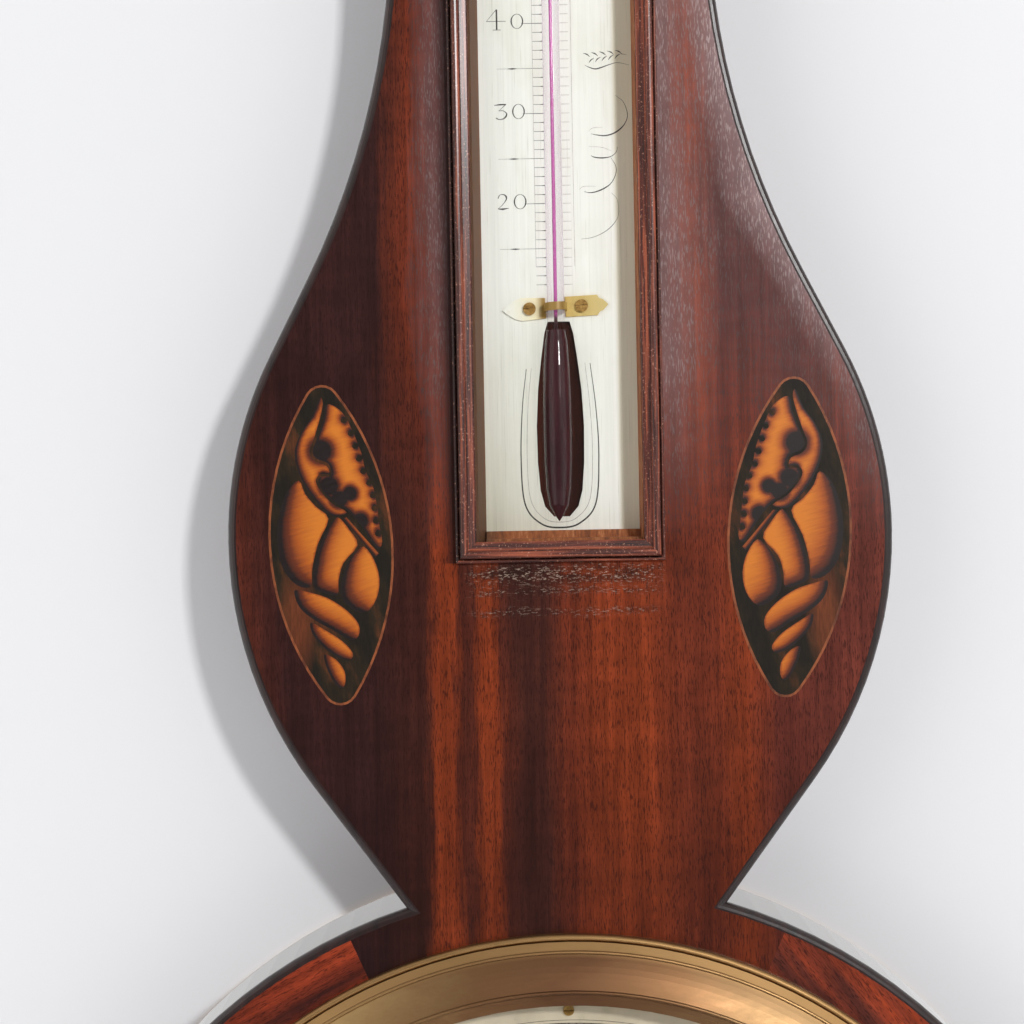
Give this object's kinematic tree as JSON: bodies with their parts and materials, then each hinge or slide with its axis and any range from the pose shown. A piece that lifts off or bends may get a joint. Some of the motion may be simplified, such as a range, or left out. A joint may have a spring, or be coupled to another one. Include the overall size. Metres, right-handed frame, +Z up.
{
  "type": "banjo barometer",
  "caption": "Wheel barometer in a banjo-shaped mahogany case with shell inlays, a boxed thermometer in the trunk, a silvered dial in a hinged brass bezel and a siphon tube behind.",
  "frame": {"origin": "centre of the hanging hole, at the wall", "axes": "+Z up, +X to the right seen from the front, the face looks along -Y and the wall is Y = 0"},
  "size_m": [0.254, 0.044, 0.966],
  "materials": {
    "case_wood": "dark polished sides, bare wood behind",
    "veneer": "straight grained mahogany veneer, worn polish",
    "edging": "black stained edging, polished",
    "inlay_ground": "dark green stained veneer",
    "boxwood": "boxwood string",
    "shell_wood": "sand shaded holly and box",
    "moulding": "dark mahogany moulding, polished",
    "slip_wood": "bare mahogany slips",
    "pine": "bare pine",
    "brass": "lacquered brass",
    "bezel_brass": "turned brass, tarnished",
    "silvered_brass": "silvered brass, brushed and engraved",
    "steel": "turned steel",
    "dark_steel": "browned steel",
    "blued_steel": "blued steel",
    "mercury": "liquid mercury",
    "tube_glass": "drawn glass",
    "pane_glass": "flat glass",
    "float_glass": "white glass",
    "spirit": "coloured spirit",
    "silk": "silk thread",
    "cord": "plaited gut cord",
    "bone": "turned bone"
  },
  "bodies": {
    "case": {"carcass": "case_wood", "trunk_veneer": "veneer", "left_roundel_veneer": "veneer", "right_roundel_veneer": "veneer", "tail_veneer": "veneer", "left_edging": "edging", "right_edging": "edging", "inlay_grounds": "inlay_ground", "inlay_strings": "boxwood", "shell_inlays": "shell_wood", "left_cornice": "moulding", "right_cornice": "moulding", "finial_plinth": "moulding", "foot_block": "moulding", "tube_cover": "pine", "tail_cover": "pine", "lining_slips": "slip_wood", "finial": "brass", "hanging_plate": "brass", "back_screws": "steel", "thermometer_plate": "silvered_brass", "tube_clips": "brass", "clip_screws": "dark_steel", "frame_hinge_fixed_leaf": "brass", "dial_plate": "silvered_brass", "dial_screws": "dark_steel", "mercury": "mercury", "tube_clamp": "brass", "arbor_bridge": "brass", "bridge_screws": "steel", "arbor_bush": "brass", "key_bush": "brass", "bezel_hinge_fixed_leaf": "brass", "door_hinge_fixed_leaves": "brass", "thermometer_tube": "tube_glass", "thermometer_spirit": "spirit", "siphon_tube": "tube_glass", "counterweight_guide": "tube_glass", "silk_thread": "silk", "set_cord": "cord"},
    "bezel": {"bezel": "bezel_brass", "bezel_glass": "pane_glass", "glass_ring": "silvered_brass", "bezel_hinge_moving_leaf": "brass"},
    "pointer": {"pointer_hand": "blued_steel", "pointer_arbor": "steel"},
    "set_hand": {"set_hand": "brass", "set_hand_pipe": "brass"},
    "key": {"set_key": "bone"},
    "float": {"glass_float": "float_glass"},
    "counterweight": {"counterweight": "float_glass"},
    "thermometer_frame": {"left_stile": "moulding", "right_stile": "moulding", "top_rail": "moulding", "bottom_rail": "moulding", "thermometer_glass": "pane_glass", "frame_hinge_moving_leaf": "brass"},
    "back_door": {"back_door": "pine", "door_hinge_moving_leaves": "brass"},
    "door_button": {"door_button": "brass"}
  },
  "joints": [
    {"name": "bezel_open", "type": "hinge", "parent": "case", "child": "bezel", "pos_m": [0.1168, -0.03, -0.70599], "axis": [0, 0, 1], "range_deg": [0, 110]},
    {"name": "pointer_turn", "type": "hinge", "parent": "case", "child": "pointer", "pos_m": [0, 0, -0.70599], "axis": [0, 1, 0], "range_deg": [-150, 150]},
    {"name": "float_travel", "type": "slide", "parent": "case", "child": "float", "axis": [0, 0, 1], "range_m": [-0.0175, 0.0175], "deforming": ["mercury"]},
    {"name": "counterweight_travel", "type": "slide", "parent": "case", "child": "counterweight", "axis": [0, 0, 1], "range_m": [-0.0175, 0.0175]},
    {"name": "set_hand_turn", "type": "hinge", "parent": "case", "child": "set_hand", "pos_m": [0, 0, -0.70599], "axis": [0, 1, 0], "continuous": true},
    {"name": "key_turn", "type": "hinge", "parent": "case", "child": "key", "pos_m": [0, 0, -0.82999], "axis": [0, 1, 0], "continuous": true},
    {"name": "thermometer_frame_open", "type": "hinge", "parent": "case", "child": "thermometer_frame", "pos_m": [0, -0.03, -0.18419], "axis": [-1, 0, 0], "range_deg": [0, 100]},
    {"name": "back_door_open", "type": "hinge", "parent": "case", "child": "back_door", "pos_m": [0.0518, -0.0015, -0.70599], "axis": [0, 0, -1], "range_deg": [0, 95]},
    {"name": "door_button_turn", "type": "hinge", "parent": "case", "child": "door_button", "pos_m": [-0.0565, 0, -0.73349], "axis": [0, 1, 0], "range_deg": [0, 90]}
  ],
  "couplings": [
    {"joint": "float_travel", "follows": "pointer_turn", "m_per_rad": -0.0066151},
    {"joint": "counterweight_travel", "follows": "pointer_turn", "m_per_rad": 0.0066151},
    {"joint": "set_hand_turn", "follows": "key_turn", "ratio": 0.66667}
  ]
}
